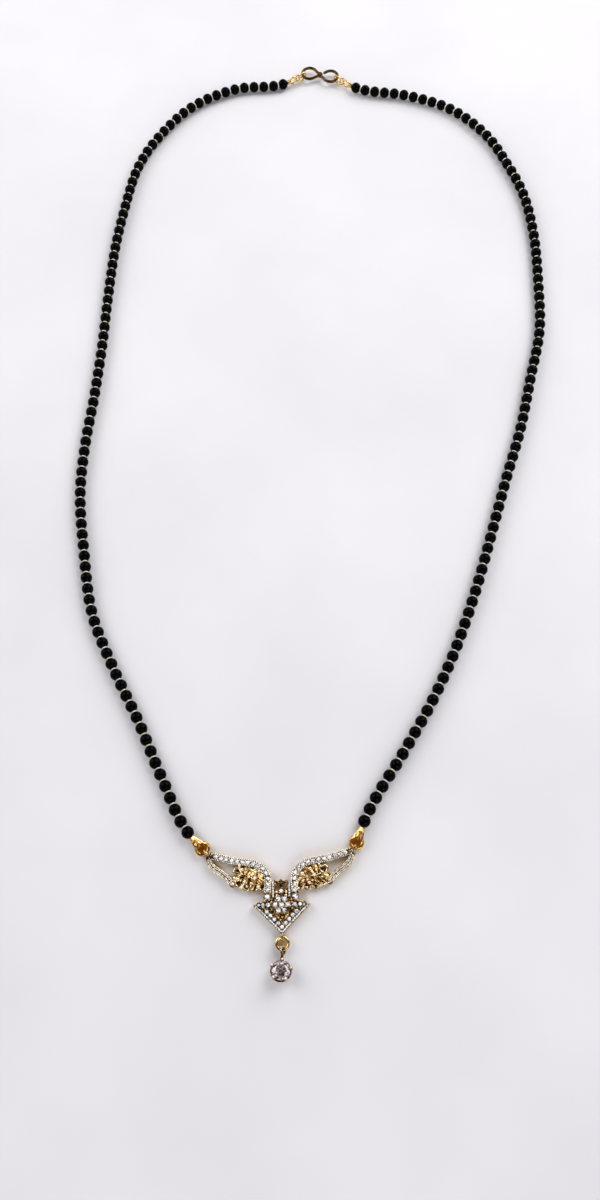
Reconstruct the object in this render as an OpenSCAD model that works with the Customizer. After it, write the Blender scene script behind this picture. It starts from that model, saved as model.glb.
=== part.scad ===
// Mangalsutra: two strings of black beads, a cast and pierced pendant with cut stones,
// a stone drop and a figure-eight hook at the back. It lies flat on its back, +Z up.
// +Y runs from the drop to the hook, and the origin is the middle of the footprint.

/* [Beads] */
// Diameter of a black bead
bead_d = 3.2; // [2.4:0.1:3.6]
// Length of a bead along its thread
bead_l = 2.85; // [2:0.05:3.2]
// Least gap between two beads, where a thin gold spacer sits
bead_gap = 0.4; // [0.3:0.05:1.5]
// Diameter of the hole drilled through a bead
bead_hole_d = 0.9; // [0.7:0.05:1.2]
// Diameter of the thread
thread_d = 0.45; // [0.3:0.05:0.6]

/* [Pendant wings] */
// From the pendant's middle line to the middle of a wing-tip eye
wing_reach = 18.4; // [16:0.2:22]
// From the line of the kite's side corners up to the wing-tip eyes
wing_rise = 12.8; // [11:0.2:15]
// Height of the stone-set rails above the back
rail_t = 1.9; // [1.5:0.1:2.6]
// Metal left at each side of a rail stone's seat
rail_wall = 0.2; // [0.1:0.05:0.4]
// Width of the lower rail of a wing
low_rail_w = 1.4; // [1:0.1:1.6]
// Height of the lower rail of a wing
low_rail_t = 1.6; // [1.2:0.1:2.2]
// Width of the vine that runs through a wing
vine_w = 0.75; // [0.5:0.05:1]
// Height of the vine, the scrolls and the leaves above the back
vine_t = 1.2; // [0.9:0.1:1.8]
// How far a leaf's middle vein stands above the leaf
vein_rise = 0.35; // [0.2:0.05:0.6]
// Width of a leaf's middle vein
vein_w = 0.3; // [0.2:0.05:0.5]
// Width of the band that a scroll is bent from
scroll_w = 0.5; // [0.35:0.05:0.7]
// Thickness of the sheet behind the leaves and in the kite's sunk field
sheet_t = 0.4; // [0.3:0.05:0.6]

/* [Pendant kite] */
// Width of the kite from side corner to side corner
kite_w = 14; // [12:0.2:17]
// From the line of the side corners down to the kite's point
kite_drop = 6.9; // [6:0.1:9]
// Thickness of the kite's plate
plate_t = 0.9; // [0.6:0.1:1.4]
// Width of the stone-set border along the kite's lower edges
border_w = 2; // [1.6:0.1:2.4]
// Height of the border above the back
border_t = 1.8; // [1.4:0.1:2.4]
// Width of the neck between the wings
neck_w = 4.7; // [4:0.1:5]
// From the line of the side corners up to the neck's top
neck_rise = 5.5; // [5:0.1:7]
// Width of the neck's side bars, middle rib and top bar
neck_bar_w = 0.7; // [0.5:0.05:0.9]
// Height of the collets round the flower's stones above the back
collet_t = 2.2; // [1.8:0.1:2.8]
// Metal round a stone in its collet
collet_wall = 0.22; // [0.15:0.01:0.4]

/* [Stones] */
// Diameter of a stone in a wing's upper rail
rail_stone_d = 1.05; // [0.8:0.05:1.3]
// Least distance from one rail stone to the next, middle to middle
rail_stone_pitch = 1.35; // [1.2:0.05:2]
// Diameter of the flower's middle stone
flower_stone_d = 1.2; // [0.9:0.05:1.3]
// Diameter of a petal stone
petal_stone_d = 1.1; // [0.9:0.05:1.15]
// Petal stones round the flower's middle
petal_count = 6; // [5:1:6]
// Diameter of the stone at the foot of a wing's rail
shoulder_stone_d = 1.25; // [1:0.05:1.4]
// Diameter of a stone in the kite's border
border_stone_d = 0.95; // [0.7:0.05:1.1]
// Gap between a stone and the wall of its seat
seat_gap = 0.08; // [0.06:0.01:0.12]

/* [Drop] */
// Diameter of the drop's stone
drop_stone_d = 4.5; // [3.6:0.1:6]
// Prongs round the drop's stone
prong_count = 5; // [4:1:6]
// Diameter of a prong's wire
prong_d = 0.5; // [0.4:0.05:0.7]
// Diameter of the ball on a prong's tip
prong_ball_d = 0.8; // [0.6:0.05:1]
// Turn of the prongs about the drop's stone, in degrees
prong_turn = 14; // [0:1:72]
// From the drop's stone to its bail eye, middle to middle
drop_neck_l = 4.8; // [4.5:0.1:7]
// Outer diameter of the ring that the drop hangs on
drop_ring_d = 3.7; // [3.4:0.1:5]
// Wire of the ring that the drop hangs on
drop_ring_wire = 0.8; // [0.5:0.05:0.9]

/* [Rings and hook] */
// Outer diameter of the upright eyes on the pendant and the drop
eye_d = 2.3; // [2.2:0.1:2.8]
// Wire of the upright eyes
eye_wire = 0.5; // [0.4:0.05:0.55]
// Outer diameter of the jump ring at a wing tip
tip_ring_d = 3.8; // [3.6:0.1:5]
// Wire of the jump ring at a wing tip
tip_ring_wire = 0.9; // [0.5:0.05:0.9]
// Outer diameter of the wire loop that ends a string
end_loop_d = 2.8; // [2.6:0.1:3]
// Wire of the loop that ends a string
end_loop_wire = 0.5; // [0.4:0.05:0.6]
// Length of the sleeve between a string and its end loop
sleeve_l = 0.8; // [0.6:0.1:2]
// Outer diameter of that sleeve
sleeve_d = 1.3; // [1.2:0.05:1.8]
// Outer diameter of the small rings at the hook
link_d = 3; // [2.8:0.1:3.4]
// Wire of the small rings at the hook
link_wire = 0.5; // [0.4:0.05:0.6]
// Distance from one small ring to the next, middle to middle
link_pitch = 1.75; // [1.4:0.05:1.8]
// Outer width of each lobe of the hook
lobe_w = 5.7; // [5:0.1:7]
// From the hook's waist to the middle of a lobe
lobe_reach = 3.6; // [3.2:0.1:5]
// Wire of the hook
hook_wire = 0.9; // [0.7:0.05:1]
// Length of the band round the hook's waist
waist_l = 1; // [0.6:0.1:1.4]
// Diameter of that band
waist_d = 1.9; // [1.6:0.1:2.2]
// Opening between the end of the hook's right lobe and its waist
hook_opening = 0.3; // [0.2:0.05:0.5]
// Least gap between a ring and the ring, eye or lobe that it passes through
link_gap = 0.1; // [0.08:0.01:0.15]

/* [Layout] */
// Turn of the pendant on the surface, in degrees
pendant_turn = -3; // [-6:0.5:6]
// Direction of the left string where it leaves its wing, in degrees
left_wing_dir = 130; // [120:1:140]
// Direction of the right string where it leaves its wing, in degrees
right_wing_dir = 64; // [55:1:70]
// Turn of the drop on the surface, against the pendant, in degrees
drop_turn = -6; // [-10:1:10]
// Turn of the drop's bail eye about the drop's neck, in degrees
bail_turn = -30; // [-40:5:0]
// Direction of the hook's long axis, in degrees
hook_dir = -17; // [-25:1:-10]
// Direction in which the left string leaves the hook, in degrees
left_hook_dir = 203; // [195:1:210]
// Direction in which the right string leaves the hook, in degrees
right_hook_dir = -38; // [-45:1:-30]

/* [Hidden] */
$fn = 24;

// Sides of a string, as indexes
left = 0;
right = 1;

// Chosen points of each string from its wing to the hook, as [x, y] from the kite's middle
string_route = [
    [[-28, 33], [-33.5, 48], [-40, 63.5], [-45.5, 79.5], [-47.5, 97], [-48.5, 115],
     [-47, 131], [-44, 148], [-41.5, 165], [-39.5, 182], [-37, 200], [-33.5, 216],
     [-29, 231.5], [-21.5, 244], [-10, 255.5], [5, 261.5]],
    [[34.5, 35], [43, 47], [51, 60.5], [58.5, 76], [65, 91.5], [71.5, 107.5],
     [78.5, 124], [84, 140], [89.5, 156.5], [92, 174], [93.5, 190.5], [93, 206.5],
     [89.5, 220.5], [84.5, 233], [75, 244.5], [61.5, 252]]
];
// Middle of the hook, from the kite's middle
hook_at = [33.5, 264.5];

// Centre line of a wing's upper rail: [share of wing_reach, share of wing_rise]
upper_rail_line = [
    [0.185, 0.14], [0.182, 0.3], [0.175, 0.42], [0.185, 0.54], [0.23, 0.65],
    [0.31, 0.735], [0.415, 0.785], [0.52, 0.805], [0.625, 0.825], [0.73, 0.86],
    [0.83, 0.9], [0.925, 0.94]
];
// Centre line of its lower rail, in the same shares
lower_rail_line = [
    [0.965, 0.9], [0.94, 0.78], [0.88, 0.69], [0.795, 0.605], [0.715, 0.51], [0.65, 0.4]
];
// Centre line of the vine inside a wing
vine_line = [
    [0.575, 0.6], [0.5, 0.555], [0.42, 0.53], [0.34, 0.51], [0.26, 0.465], [0.19, 0.4]
];
// Leaves: [foot x, foot y, length, width] as shares, the two lengths of wing_reach, then degrees
leaves = [
    [0.5, 0.57, 0.17, 0.085, 118],
    [0.46, 0.54, 0.185, 0.09, 152],
    [0.37, 0.52, 0.165, 0.085, 112],
    [0.33, 0.5, 0.165, 0.085, 148],
    [0.54, 0.57, 0.15, 0.075, -38],
    [0.48, 0.55, 0.13, 0.07, 262],
    [0.39, 0.52, 0.125, 0.07, 250],
    [0.3, 0.49, 0.125, 0.07, 258]
];
// Scrolls along a wing's lower edge: [middle x, middle y] as shares, then degrees of the mouth
scrolls = [
    [0.5625, 0.415, 150],
    [0.4625, 0.35, 120],
    [0.3575, 0.335, 100],
    [0.2575, 0.345, 80]
];
// Outer diameter of a scroll, as a share of wing_reach
scroll_share = 0.12;
// Ring that the vine grows from: [middle x, middle y, outer diameter], the last of wing_reach
vine_ring = [0.575, 0.63, 0.125];
// Outline of the sheet behind a wing's leaves: inside the upper rail, the vine's ring, the lower
// rail's foot and the wire of the scrolls
sheet_outline = [
    [0.204, 0.3], [0.197, 0.42], [0.208, 0.53], [0.25, 0.63], [0.325, 0.705], [0.42, 0.755],
    [0.52, 0.773], [0.592, 0.696], [0.624, 0.63], [0.6175, 0.5945], [0.69, 0.49], [0.65, 0.41],
    [0.616, 0.405], [0.5625, 0.352], [0.5125, 0.3825], [0.4625, 0.287], [0.41, 0.3425],
    [0.3575, 0.272], [0.3075, 0.34], [0.2575, 0.282]
];

// Diameter of a rail's round end, as a share of its width
end_share = 1.06;
// Width of an upper rail, from its stones
rail_w = rail_stone_d + 2 * (seat_gap + rail_wall);
// Radius of the flower's ring of petal stones
petal_ring_r = max((petal_stone_d + flower_stone_d) / 2 + collet_wall + 2 * seat_gap,
                   (petal_stone_d + collet_wall + 2 * seat_gap) / (2 * sin(180 / petal_count)));
// Shares of a small stone's diameter: its table, its crown's height and its pavilion's depth
table_share = 0.55;
crown_share = 0.16;
pavilion_share = 0.42;
// Places of the top bar's outer scallops, as a share of the neck's width, and how much wider
// than the bar its middle scallop is
scallop_share = 0.295;
peak_share = 1.3;
// Steps of a curve between two of its chosen points
curve_steps = 3;
// How far one piece of metal runs into the next that it is soldered to
solder = 0.3;
// Height of the strings' centre line, from the tallest ring or bead that stands on the surface
axis_z = max(bead_d, link_d, end_loop_d) / 2;
// Room that a wing-tip ring leaves in its string's end loop, from middle to middle
tip_play = end_loop_d / 2 - end_loop_wire - tip_ring_wire / 2 - link_gap;
// Height of the centre of the upright eyes and of what passes through them
eye_z = max(eye_d / 2, axis_z - 0.85 * tip_play);

function unit(deg) = [cos(deg), sin(deg)];
function turned(p, deg) = [p.x * cos(deg) - p.y * sin(deg), p.x * sin(deg) + p.y * cos(deg)];
function share(p) = [p.x * wing_reach, p.y * wing_rise];
function in_layout(p) = turned(p, pendant_turn);
function mirrored(p, side) = side == left ? [-p.x, p.y] : p;

// Point of a smooth curve through b and c, with a and d beyond them, at t from 0 to 1
function curve_point(a, b, c, d, t) =
    0.5 * (2 * b + (c - a) * t + (2 * a - 5 * b + 4 * c - d) * t * t
           + (3 * b - a - 3 * c + d) * t * t * t);
// The curve through all points of a list, whose first and last are only guides
function guided_curve(p, steps) = concat(
    [for (i = [1:len(p) - 3]) for (k = [0:steps - 1])
        curve_point(p[i - 1], p[i], p[i + 1], p[i + 2], k / steps)],
    [p[len(p) - 2]]);
// The curve through all points of a list, straight on at both ends
function curve(p, steps) = let (n = len(p))
    guided_curve(concat([2 * p[0] - p[1]], p, [2 * p[n - 1] - p[n - 2]]), steps);
// Length along a list of points, from the first to each of them
function running_length(p, i = 0, sum = 0) = i == len(p) ? [] :
    let (now = sum + (i == 0 ? 0 : norm(p[i] - p[i - 1])))
    concat([now], running_length(p, i + 1, now));
function along(p, run, s) = [
    lookup(s, [for (i = [0:len(p) - 1]) [run[i], p[i].x]]),
    lookup(s, [for (i = [0:len(p) - 1]) [run[i], p[i].y]])];
function heading(v) = atan2(v.y, v.x);
// Outline of a band of one width along a list of points
function band(p, w) = let (
    n = len(p),
    side = [for (i = [0:n - 1]) let (v = p[min(i + 1, n - 1)] - p[max(i - 1, 0)])
        [-v.y, v.x] / norm(v) * w / 2])
    concat([for (i = [0:n - 1]) p[i] + side[i]], [for (i = [n - 1:-1:0]) p[i] - side[i]]);

// Where a string starts at its wing: past the eye, the jump ring, the end loop and its sleeve
tip_ring_r = (tip_ring_d - tip_ring_wire) / 2;
end_loop_in = end_loop_d / 2 - end_loop_wire;
function wing_dir(side) = side == left ? left_wing_dir : right_wing_dir;
function wing_eye(side) = in_layout(mirrored([wing_reach, wing_rise], side));
function wing_loop_at(side) = wing_eye(side)
    + unit(wing_dir(side)) * (2 * tip_ring_r + sqrt(tip_play ^ 2 - (axis_z - eye_z) ^ 2));
function string_start(side) = wing_loop_at(side)
    + unit(wing_dir(side)) * (end_loop_d / 2 + sleeve_l);
// Where it ends at the hook: past the upright link, the flat link, the end loop and its sleeve
lobe_r = (lobe_w - hook_wire) / 2;
link_in = link_d / 2 - link_wire;
function hook_side_dir(side) = side == left ? left_hook_dir : right_hook_dir;
function lobe_at(side) = hook_at + (side == left ? -1 : 1) * unit(hook_dir) * lobe_reach;
function upright_link_at(side) = lobe_at(side) + unit(hook_side_dir(side))
    * (lobe_r - hook_wire / 2 + sqrt((link_in - link_gap) ^ 2 - (hook_wire / 2) ^ 2));
function flat_link_at(side) = upright_link_at(side) + unit(hook_side_dir(side)) * link_pitch;
function hook_loop_at(side) = flat_link_at(side)
    + unit(hook_side_dir(side)) * (link_in + end_loop_in - 2 * link_gap);
function string_end(side) = hook_loop_at(side)
    + unit(hook_side_dir(side)) * (end_loop_d / 2 + sleeve_l);

// The string's curve, which starts and ends in the direction of its end loops
function string_curve(side) = let (
    p = concat([string_start(side)], string_route[side], [string_end(side)]),
    n = len(p),
    before = p[1] - 2 * norm(p[1] - p[0]) * unit(wing_dir(side)),
    after = p[n - 2] - 2 * norm(p[n - 1] - p[n - 2]) * unit(hook_side_dir(side)))
    guided_curve(concat([before], p, [after]), 8);
// Beads of a string, each as [x, y, heading]
function bead_places(side) = let (
    p = string_curve(side),
    run = running_length(p),
    total = run[len(run) - 1],
    count = floor(total / (bead_l + bead_gap)),
    pitch = total / count)
    [for (i = [0:count - 1]) let (
        s = (i + 0.5) * pitch,
        v = along(p, run, s + bead_l / 2) - along(p, run, s - bead_l / 2),
        c = along(p, run, s))
        [c.x, c.y, heading(v)]];
left_beads = bead_places(left);
right_beads = bead_places(right);
function beads(side) = side == left ? left_beads : right_beads;

// The drop: its eye hangs on the drop ring, and its base rests on the surface
kite_eye_y = -(kite_drop + eye_d / 2 - 2 * solder);
drop_ring_r = (drop_ring_d - drop_ring_wire) / 2;
drop_ring_y = kite_eye_y - drop_ring_r;
drop_eye_y = drop_ring_y - drop_ring_r;
drop_stone_r = drop_stone_d / 2;
prong_r = drop_stone_r + seat_gap + prong_d / 2;
drop_base_r = 0.27 * drop_stone_d;
drop_base_depth = 0.53 * drop_stone_d;
drop_base_wire = 1.1 * prong_d;
// From the bail eye to the base ring's nearest point: along the neck, then down
drop_arm = [drop_neck_l - drop_base_r, drop_base_depth];
drop_tilt = acos((eye_z - drop_base_wire / 2) / norm(drop_arm)) - atan2(drop_arm.x, drop_arm.y);

// Middle of the footprint, which becomes the origin
bead_x = [for (b = concat(left_beads, right_beads)) b.x];
front_y = in_layout([0, drop_eye_y]).y
    - (drop_neck_l * cos(drop_tilt) + prong_r + prong_ball_d / 2 - seat_gap);
back_y = lobe_at(left).y + lobe_w / 2;
middle = [(min(bead_x) + max(bead_x)) / 2, (front_y + back_y) / 2];

gold = [0.86, 0.72, 0.4];
deep_gold = [0.72, 0.5, 0.2];
clear_stone = [0.88, 0.9, 0.95];

// Round wire bent to a ring about z
module wire_ring(outer_d, wire, opening = 0) {
    rotate([0, 0, opening / 2])
        rotate_extrude(angle = 360 - opening)
            translate([(outer_d - wire) / 2, 0]) circle(d = wire);
}

// A ring that stands upright, its plane along a heading
module upright_ring(outer_d, wire, deg) {
    rotate([0, 0, deg]) rotate([90, 0, 0]) wire_ring(outer_d, wire);
}

module slab(h) {
    linear_extrude(height = h) children();
}

// Round wire between two points
module rod(a, b, d) {
    v = b - a;
    translate(a) rotate([0, acos(v.z / norm(v)), atan2(v.y, v.x)]) cylinder(h = norm(v), d = d);
}

module bead() {
    rotate([0, 90, 0]) rotate_extrude() intersection() {
        circle(d = bead_d);
        translate([bead_hole_d / 2, -bead_l / 2]) square([bead_d, bead_l]);
    }
}

module bead_string(side) {
    color([0.05, 0.05, 0.06])
        for (b = beads(side)) translate([b.x, b.y, axis_z]) rotate([0, 0, b.z]) bead();
}

// The thread: one ring of points at each end of every bead, inside its hole
module thread(side) {
    sides = 6;
    first = string_start(side) - unit(wing_dir(side)) * sleeve_l / 2;
    last = string_end(side) - unit(hook_side_dir(side)) * sleeve_l / 2;
    stations = concat(
        [[first.x, first.y, wing_dir(side)]],
        [for (b = beads(side)) for (e = [-1, 1])
            [b.x + e * cos(b.z) * bead_l / 2, b.y + e * sin(b.z) * bead_l / 2, b.z]],
        [[last.x, last.y, hook_side_dir(side) + 180]]);
    n = len(stations);
    points = [for (s = stations) for (k = [0:sides - 1]) let (a = 360 * k / sides)
        [s.x - sin(s.z) * cos(a) * thread_d / 2, s.y + cos(s.z) * cos(a) * thread_d / 2,
         axis_z + sin(a) * thread_d / 2]];
    faces = concat(
        [[for (k = [0:sides - 1]) k]],
        [for (i = [0:n - 2]) for (k = [0:sides - 1]) let (m = (k + 1) % sides)
            [i * sides + k, (i + 1) * sides + k, (i + 1) * sides + m, i * sides + m]],
        [[for (k = [sides - 1:-1:0]) (n - 1) * sides + k]]);
    color("dimgray") polyhedron(points = points, faces = faces, convexity = 4);
}

// Cut stone with an eight-sided table, its girdle at z = 0
module small_stone(d) {
    cylinder(h = crown_share * d, d1 = d, d2 = table_share * d, $fn = 8);
    mirror([0, 0, 1]) cylinder(h = pavilion_share * d, d1 = d, d2 = 0.1 * d, $fn = 8);
}

// Seat for such a stone, sunk from its girdle down
module seat(d) {
    translate([0, 0, -(pavilion_share * d + seat_gap)])
        cylinder(h = pavilion_share * d + seat_gap + rail_t, d = d + 2 * seat_gap);
}

// Round collet that holds one stone at its top
module collet(d, h) {
    cylinder(h = h, d = d + 2 * (seat_gap + collet_wall));
}

// Places of the upper rail's stones on the right wing
upper_rail = curve([for (p = upper_rail_line) share(p)], curve_steps);
upper_rail_run = running_length(upper_rail);
rail_first = (shoulder_stone_d + rail_stone_d) / 2 + collet_wall + 3 * seat_gap;
rail_length = upper_rail_run[len(upper_rail_run) - 1] - rail_first - rail_stone_d;
rail_gaps = floor(rail_length / rail_stone_pitch);
rail_places = [for (i = [0:rail_gaps])
    along(upper_rail, upper_rail_run, rail_first + i * rail_length / rail_gaps)];

// Places of the kite's stones: its border, its side trails and its neck, each [x, y, z, diameter]
border_line = [kite_w / 2, kite_drop];
border_dir = border_line / norm(border_line);
border_in = border_w - rail_wall - seat_gap - border_stone_d / 2;
border_foot = [0, -kite_drop + border_in / border_dir.x];
border_pitch = border_stone_d + 4 * seat_gap;
border_top = -(petal_stone_d + border_stone_d) / 2 - collet_wall - 2 * seat_gap;
border_per_side = floor((border_top - border_foot.y) / border_dir.y / border_pitch);
border_places = [for (i = [-border_per_side:border_per_side]) let (s = abs(i) * border_pitch)
    [sign(i) * border_dir.x * s, border_foot.y + border_dir.y * s, border_t, border_stone_d]];
trail_z = (border_t + collet_t) / 2;
// Side trail: [share of kite_w, share of the petal stone's diameter]
trail = [[0.235, 0.9], [0.325, 0.75], [0.395, 0.6]];
trail_places = [for (e = [-1, 1]) for (t = trail)
    [e * t[0] * kite_w, 0, trail_z, t[1] * petal_stone_d]];
neck_stone_y = petal_ring_r + 2 * petal_stone_d * 0.75;
neck_places = [[0, neck_stone_y, trail_z, 0.8 * petal_stone_d]];
kite_places = concat(border_places, trail_places, neck_places);
petal_places = [for (i = [0:petal_count - 1]) petal_ring_r * unit(90 + 360 * (i + 0.5) / petal_count)];
shoulder_at = upper_rail[0];

module leaf(length, width) {
    bow_r = (length * length + width * width) / (4 * width);
    slab(vine_t) intersection() {
        translate([length / 2, width / 2 - bow_r]) circle(r = bow_r, $fn = 48);
        translate([length / 2, bow_r - width / 2]) circle(r = bow_r, $fn = 48);
    }
    // The vein starts a little behind the leaf's foot
    translate([-vein_w / 2, -vein_w / 2, 0])
        cube([0.75 * length + vein_w / 2, vein_w, vine_t + vein_rise]);
}

module scroll(mouth) {
    scroll_d = scroll_share * wing_reach;
    r = (scroll_d - scroll_w) / 2;
    rotate([0, 0, mouth + 35]) rotate_extrude(angle = 290)
        translate([r - scroll_w / 2, 0]) square([scroll_w, vine_t]);
    translate(r * unit(mouth - 35)) cylinder(h = vine_t + vein_rise, d = 1.5 * scroll_w);
}

// The right wing's metal: rails, vine, leaves, scrolls, and the eye at its tip
module wing_metal(eye_heading) {
    tip = [wing_reach, wing_rise];
    slab(rail_t) polygon(band(upper_rail, rail_w));
    slab(low_rail_t)
        polygon(band(curve([for (p = lower_rail_line) share(p)], curve_steps), low_rail_w));
    slab(vine_t) polygon(band(curve([for (p = vine_line) share(p)], curve_steps), vine_w));
    slab(sheet_t) polygon([for (p = sheet_outline) share(p)]);
    for (l = leaves)
        translate(share(l)) rotate([0, 0, l[4]]) leaf(l[2] * wing_reach, l[3] * wing_reach);
    for (s = scrolls) translate(share(s)) scroll(s[2]);
    translate(share(vine_ring)) difference() {
        cylinder(h = low_rail_t, d = vine_ring[2] * wing_reach);
        translate([0, 0, -low_rail_t])
            cylinder(h = 3 * low_rail_t, d = vine_ring[2] * wing_reach - 2 * scroll_w);
    }
    // Both rails end round, and a boss between them and the eye carries it
    translate(upper_rail[len(upper_rail) - 1]) cylinder(h = rail_t, d = end_share * rail_w);
    for (p = [lower_rail_line[0], lower_rail_line[len(lower_rail_line) - 1]])
        translate(share(p)) cylinder(h = low_rail_t, d = end_share * low_rail_w);
    translate(tip - unit(eye_heading) * (eye_d / 2 + solder))
        cylinder(h = low_rail_t, d = low_rail_w);
    translate([tip.x, tip.y, eye_z]) upright_ring(eye_d, eye_wire, eye_heading);
}

module kite_outline() {
    polygon([[-neck_w / 2, neck_rise], [-neck_w / 2, shoulder_at.y], [-shoulder_at.x, shoulder_at.y],
             [-kite_w / 2, 0], [0, -kite_drop], [kite_w / 2, 0], [shoulder_at.x, shoulder_at.y],
             [neck_w / 2, shoulder_at.y], [neck_w / 2, neck_rise]]);
}

// Lower corner of the kite, drawn in by a distance from both edges
module kite_corner(inset) {
    foot = -kite_drop + inset / border_dir.x;
    polygon([[0, foot], [kite_w / 2, foot + kite_drop], [-kite_w / 2, foot + kite_drop]]);
}

module kite_metal() {
    flower_r = petal_ring_r + petal_stone_d / 2 + seat_gap + collet_wall;
    window_w = (neck_w - 3 * neck_bar_w) / 2;
    window_low = neck_stone_y + petal_stone_d / 2;
    slab(plate_t) difference() {
        kite_outline();
        // The sunk field between the flower and the border
        difference() {
            kite_corner(border_w);
            translate([-kite_w / 2, -flower_r * 0.6]) square([kite_w, kite_w]);
        }
        // Two windows in the neck
        for (e = [-1, 1]) translate([e * (window_w + neck_bar_w) / 2 - window_w / 2, window_low])
            square([window_w, neck_rise - neck_bar_w - window_low]);
    }
    // The field's floor, and a leaf rib that crosses it at each side
    slab(sheet_t) difference() {
        kite_corner(border_w / 2);
        translate([-kite_w / 2, 0]) square([kite_w, kite_w]);
    }
    for (e = [0, 1]) mirror([e, 0, 0])
        translate([0.13 * kite_w, -flower_r * 0.5]) rotate([0, 0, -112])
            leaf(0.22 * kite_w, 0.07 * kite_w);
    // The raised border along the lower edges
    slab(border_t) difference() {
        kite_corner(0);
        kite_corner(border_w);
        translate([-kite_w, 0]) square([2 * kite_w, kite_w]);
    }
    for (p = petal_places) translate(p) collet(petal_stone_d, collet_t);
    collet(flower_stone_d, collet_t);
    for (p = concat(trail_places, neck_places)) translate([p.x, p.y, 0]) collet(p[3], p.z);
    for (e = [-1, 1]) translate([e * shoulder_at.x, shoulder_at.y, 0])
        collet(shoulder_stone_d, collet_t);
    // The neck's raised side bars and its scalloped top bar
    for (e = [0, 1]) mirror([e, 0, 0])
        translate([neck_w / 2 - neck_bar_w, shoulder_at.y, 0])
            cube([neck_bar_w, neck_rise - shoulder_at.y, rail_t]);
    translate([-shoulder_at.x, neck_rise - neck_bar_w, 0])
        cube([2 * shoulder_at.x, neck_bar_w, low_rail_t]);
    for (i = [-1, 0, 1]) translate([i * scallop_share * neck_w, neck_rise, 0])
        cylinder(h = low_rail_t, d = neck_bar_w * (i == 0 ? peak_share : 1));
    translate([0, kite_eye_y, eye_z]) upright_ring(eye_d, eye_wire, 90);
}

module pendant_frame() {
    color(gold) rotate([0, 0, pendant_turn]) difference() {
        union() {
            wing_metal(right_wing_dir - pendant_turn);
            mirror([1, 0, 0]) wing_metal(180 - left_wing_dir + pendant_turn);
            kite_metal();
        }
        for (p = rail_places) for (e = [0, 1]) mirror([e, 0, 0])
            translate([p.x, p.y, rail_t]) seat(rail_stone_d);
        for (p = kite_places) translate([p.x, p.y, p.z]) seat(p[3]);
        for (p = petal_places) translate([p.x, p.y, collet_t]) seat(petal_stone_d);
        translate([0, 0, collet_t]) seat(flower_stone_d);
        for (e = [-1, 1]) translate([e * shoulder_at.x, shoulder_at.y, collet_t])
            seat(shoulder_stone_d);
    }
}

module pendant_stone(p, z, d) {
    color(clear_stone) rotate([0, 0, pendant_turn]) translate([p.x, p.y, z]) small_stone(d);
}

module wing_stones(side) {
    for (p = rail_places) pendant_stone(mirrored(p, side), rail_t, rail_stone_d);
}

module kite_stones() {
    for (p = kite_places) pendant_stone(p, p.z, p[3]);
}

module shoulder_stone(side) {
    pendant_stone(mirrored(shoulder_at, side), collet_t, shoulder_stone_d);
}

module drop_ring() {
    color(deep_gold) rotate([0, 0, pendant_turn])
        translate([0, drop_ring_y, eye_z]) wire_ring(drop_ring_d, drop_ring_wire, 5);
}

// Places the drop's own frame, its stone's girdle at z = 0, with its eye on the drop ring
module at_drop() {
    rotate([0, 0, pendant_turn]) translate([0, drop_eye_y, eye_z]) rotate([0, 0, drop_turn])
        rotate([-drop_tilt, 0, 0]) translate([0, -drop_neck_l, 0]) children();
}

module drop_setting() {
    // A prong rises from the base over its knee and past the girdle, and its ball leans over
    // the stone's edge
    foot = [drop_base_r, 0, -drop_base_depth];
    knee = [prong_r, 0, -0.1 * drop_stone_d];
    past_girdle = [prong_r, 0, 0.05 * drop_stone_d];
    ball_at = [drop_stone_r + 0.19 * prong_ball_d, 0, 0.13 * drop_stone_d];
    color(gold) at_drop() {
        for (i = [0:prong_count - 1]) rotate([0, 0, prong_turn + 360 * i / prong_count]) {
            rod(foot, knee, prong_d);
            rod(knee, past_girdle, prong_d);
            rod(past_girdle, ball_at, prong_d);
            for (bend = [knee, past_girdle]) translate(bend) sphere(d = 1.1 * prong_d);
            translate(ball_at) sphere(d = prong_ball_d);
        }
        translate([0, 0, -drop_base_depth])
            wire_ring(2 * drop_base_r + drop_base_wire, drop_base_wire);
        translate([0, 0, knee.z - prong_d / 2]) wire_ring(2 * prong_r, 0.9 * prong_d);
        // The neck narrows from the setting to the bail eye
        translate([0, prong_r - prong_d / 2, knee.z / 2]) rotate([-90, 0, 0])
            cylinder(h = drop_neck_l - eye_d / 2 + eye_wire / 2 - prong_r + prong_d / 2,
                     d1 = 2 * prong_d, d2 = 1.1 * eye_wire);
        translate([0, drop_neck_l, 0]) rotate([0, bail_turn, 0])
            upright_ring(eye_d, eye_wire, 90);
    }
}

// Round brilliant: table, two rings of crown facets, girdle and pavilion, each ring eight points
module brilliant(d) {
    r = d / 2;
    // Rings of the stone: [share of the radius, share of the diameter in height, turn]
    rings = [[0.56, 0.155, 0], [0.8, 0.095, 22.5], [1, 0.012, 0], [1, -0.012, 0],
             [0.55, -0.24, 22.5]];
    sides = 16;
    points = concat(
        [for (g = rings) for (k = [0:sides - 1]) let (
            flat = (k % 2 == 0) == (g[2] == 0) || abs(g[1]) < 0.02 ? 1 : cos(22.5))
            [r * g[0] * flat * cos(22.5 * k), r * g[0] * flat * sin(22.5 * k), d * g[1]]],
        [[0, 0, -0.43 * d]]);
    n = len(rings);
    faces = concat(
        [[for (k = [sides - 1:-1:0]) k]],
        [for (i = [0:n - 2]) for (k = [0:sides - 1]) let (m = (k + 1) % sides)
            for (f = [[i * sides + k, i * sides + m, (i + 1) * sides + m],
                      [i * sides + k, (i + 1) * sides + m, (i + 1) * sides + k]]) f],
        [for (k = [0:sides - 1]) [(n - 1) * sides + k, (n - 1) * sides + (k + 1) % sides, n * sides]]);
    polyhedron(points = points, faces = faces);
}

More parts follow.
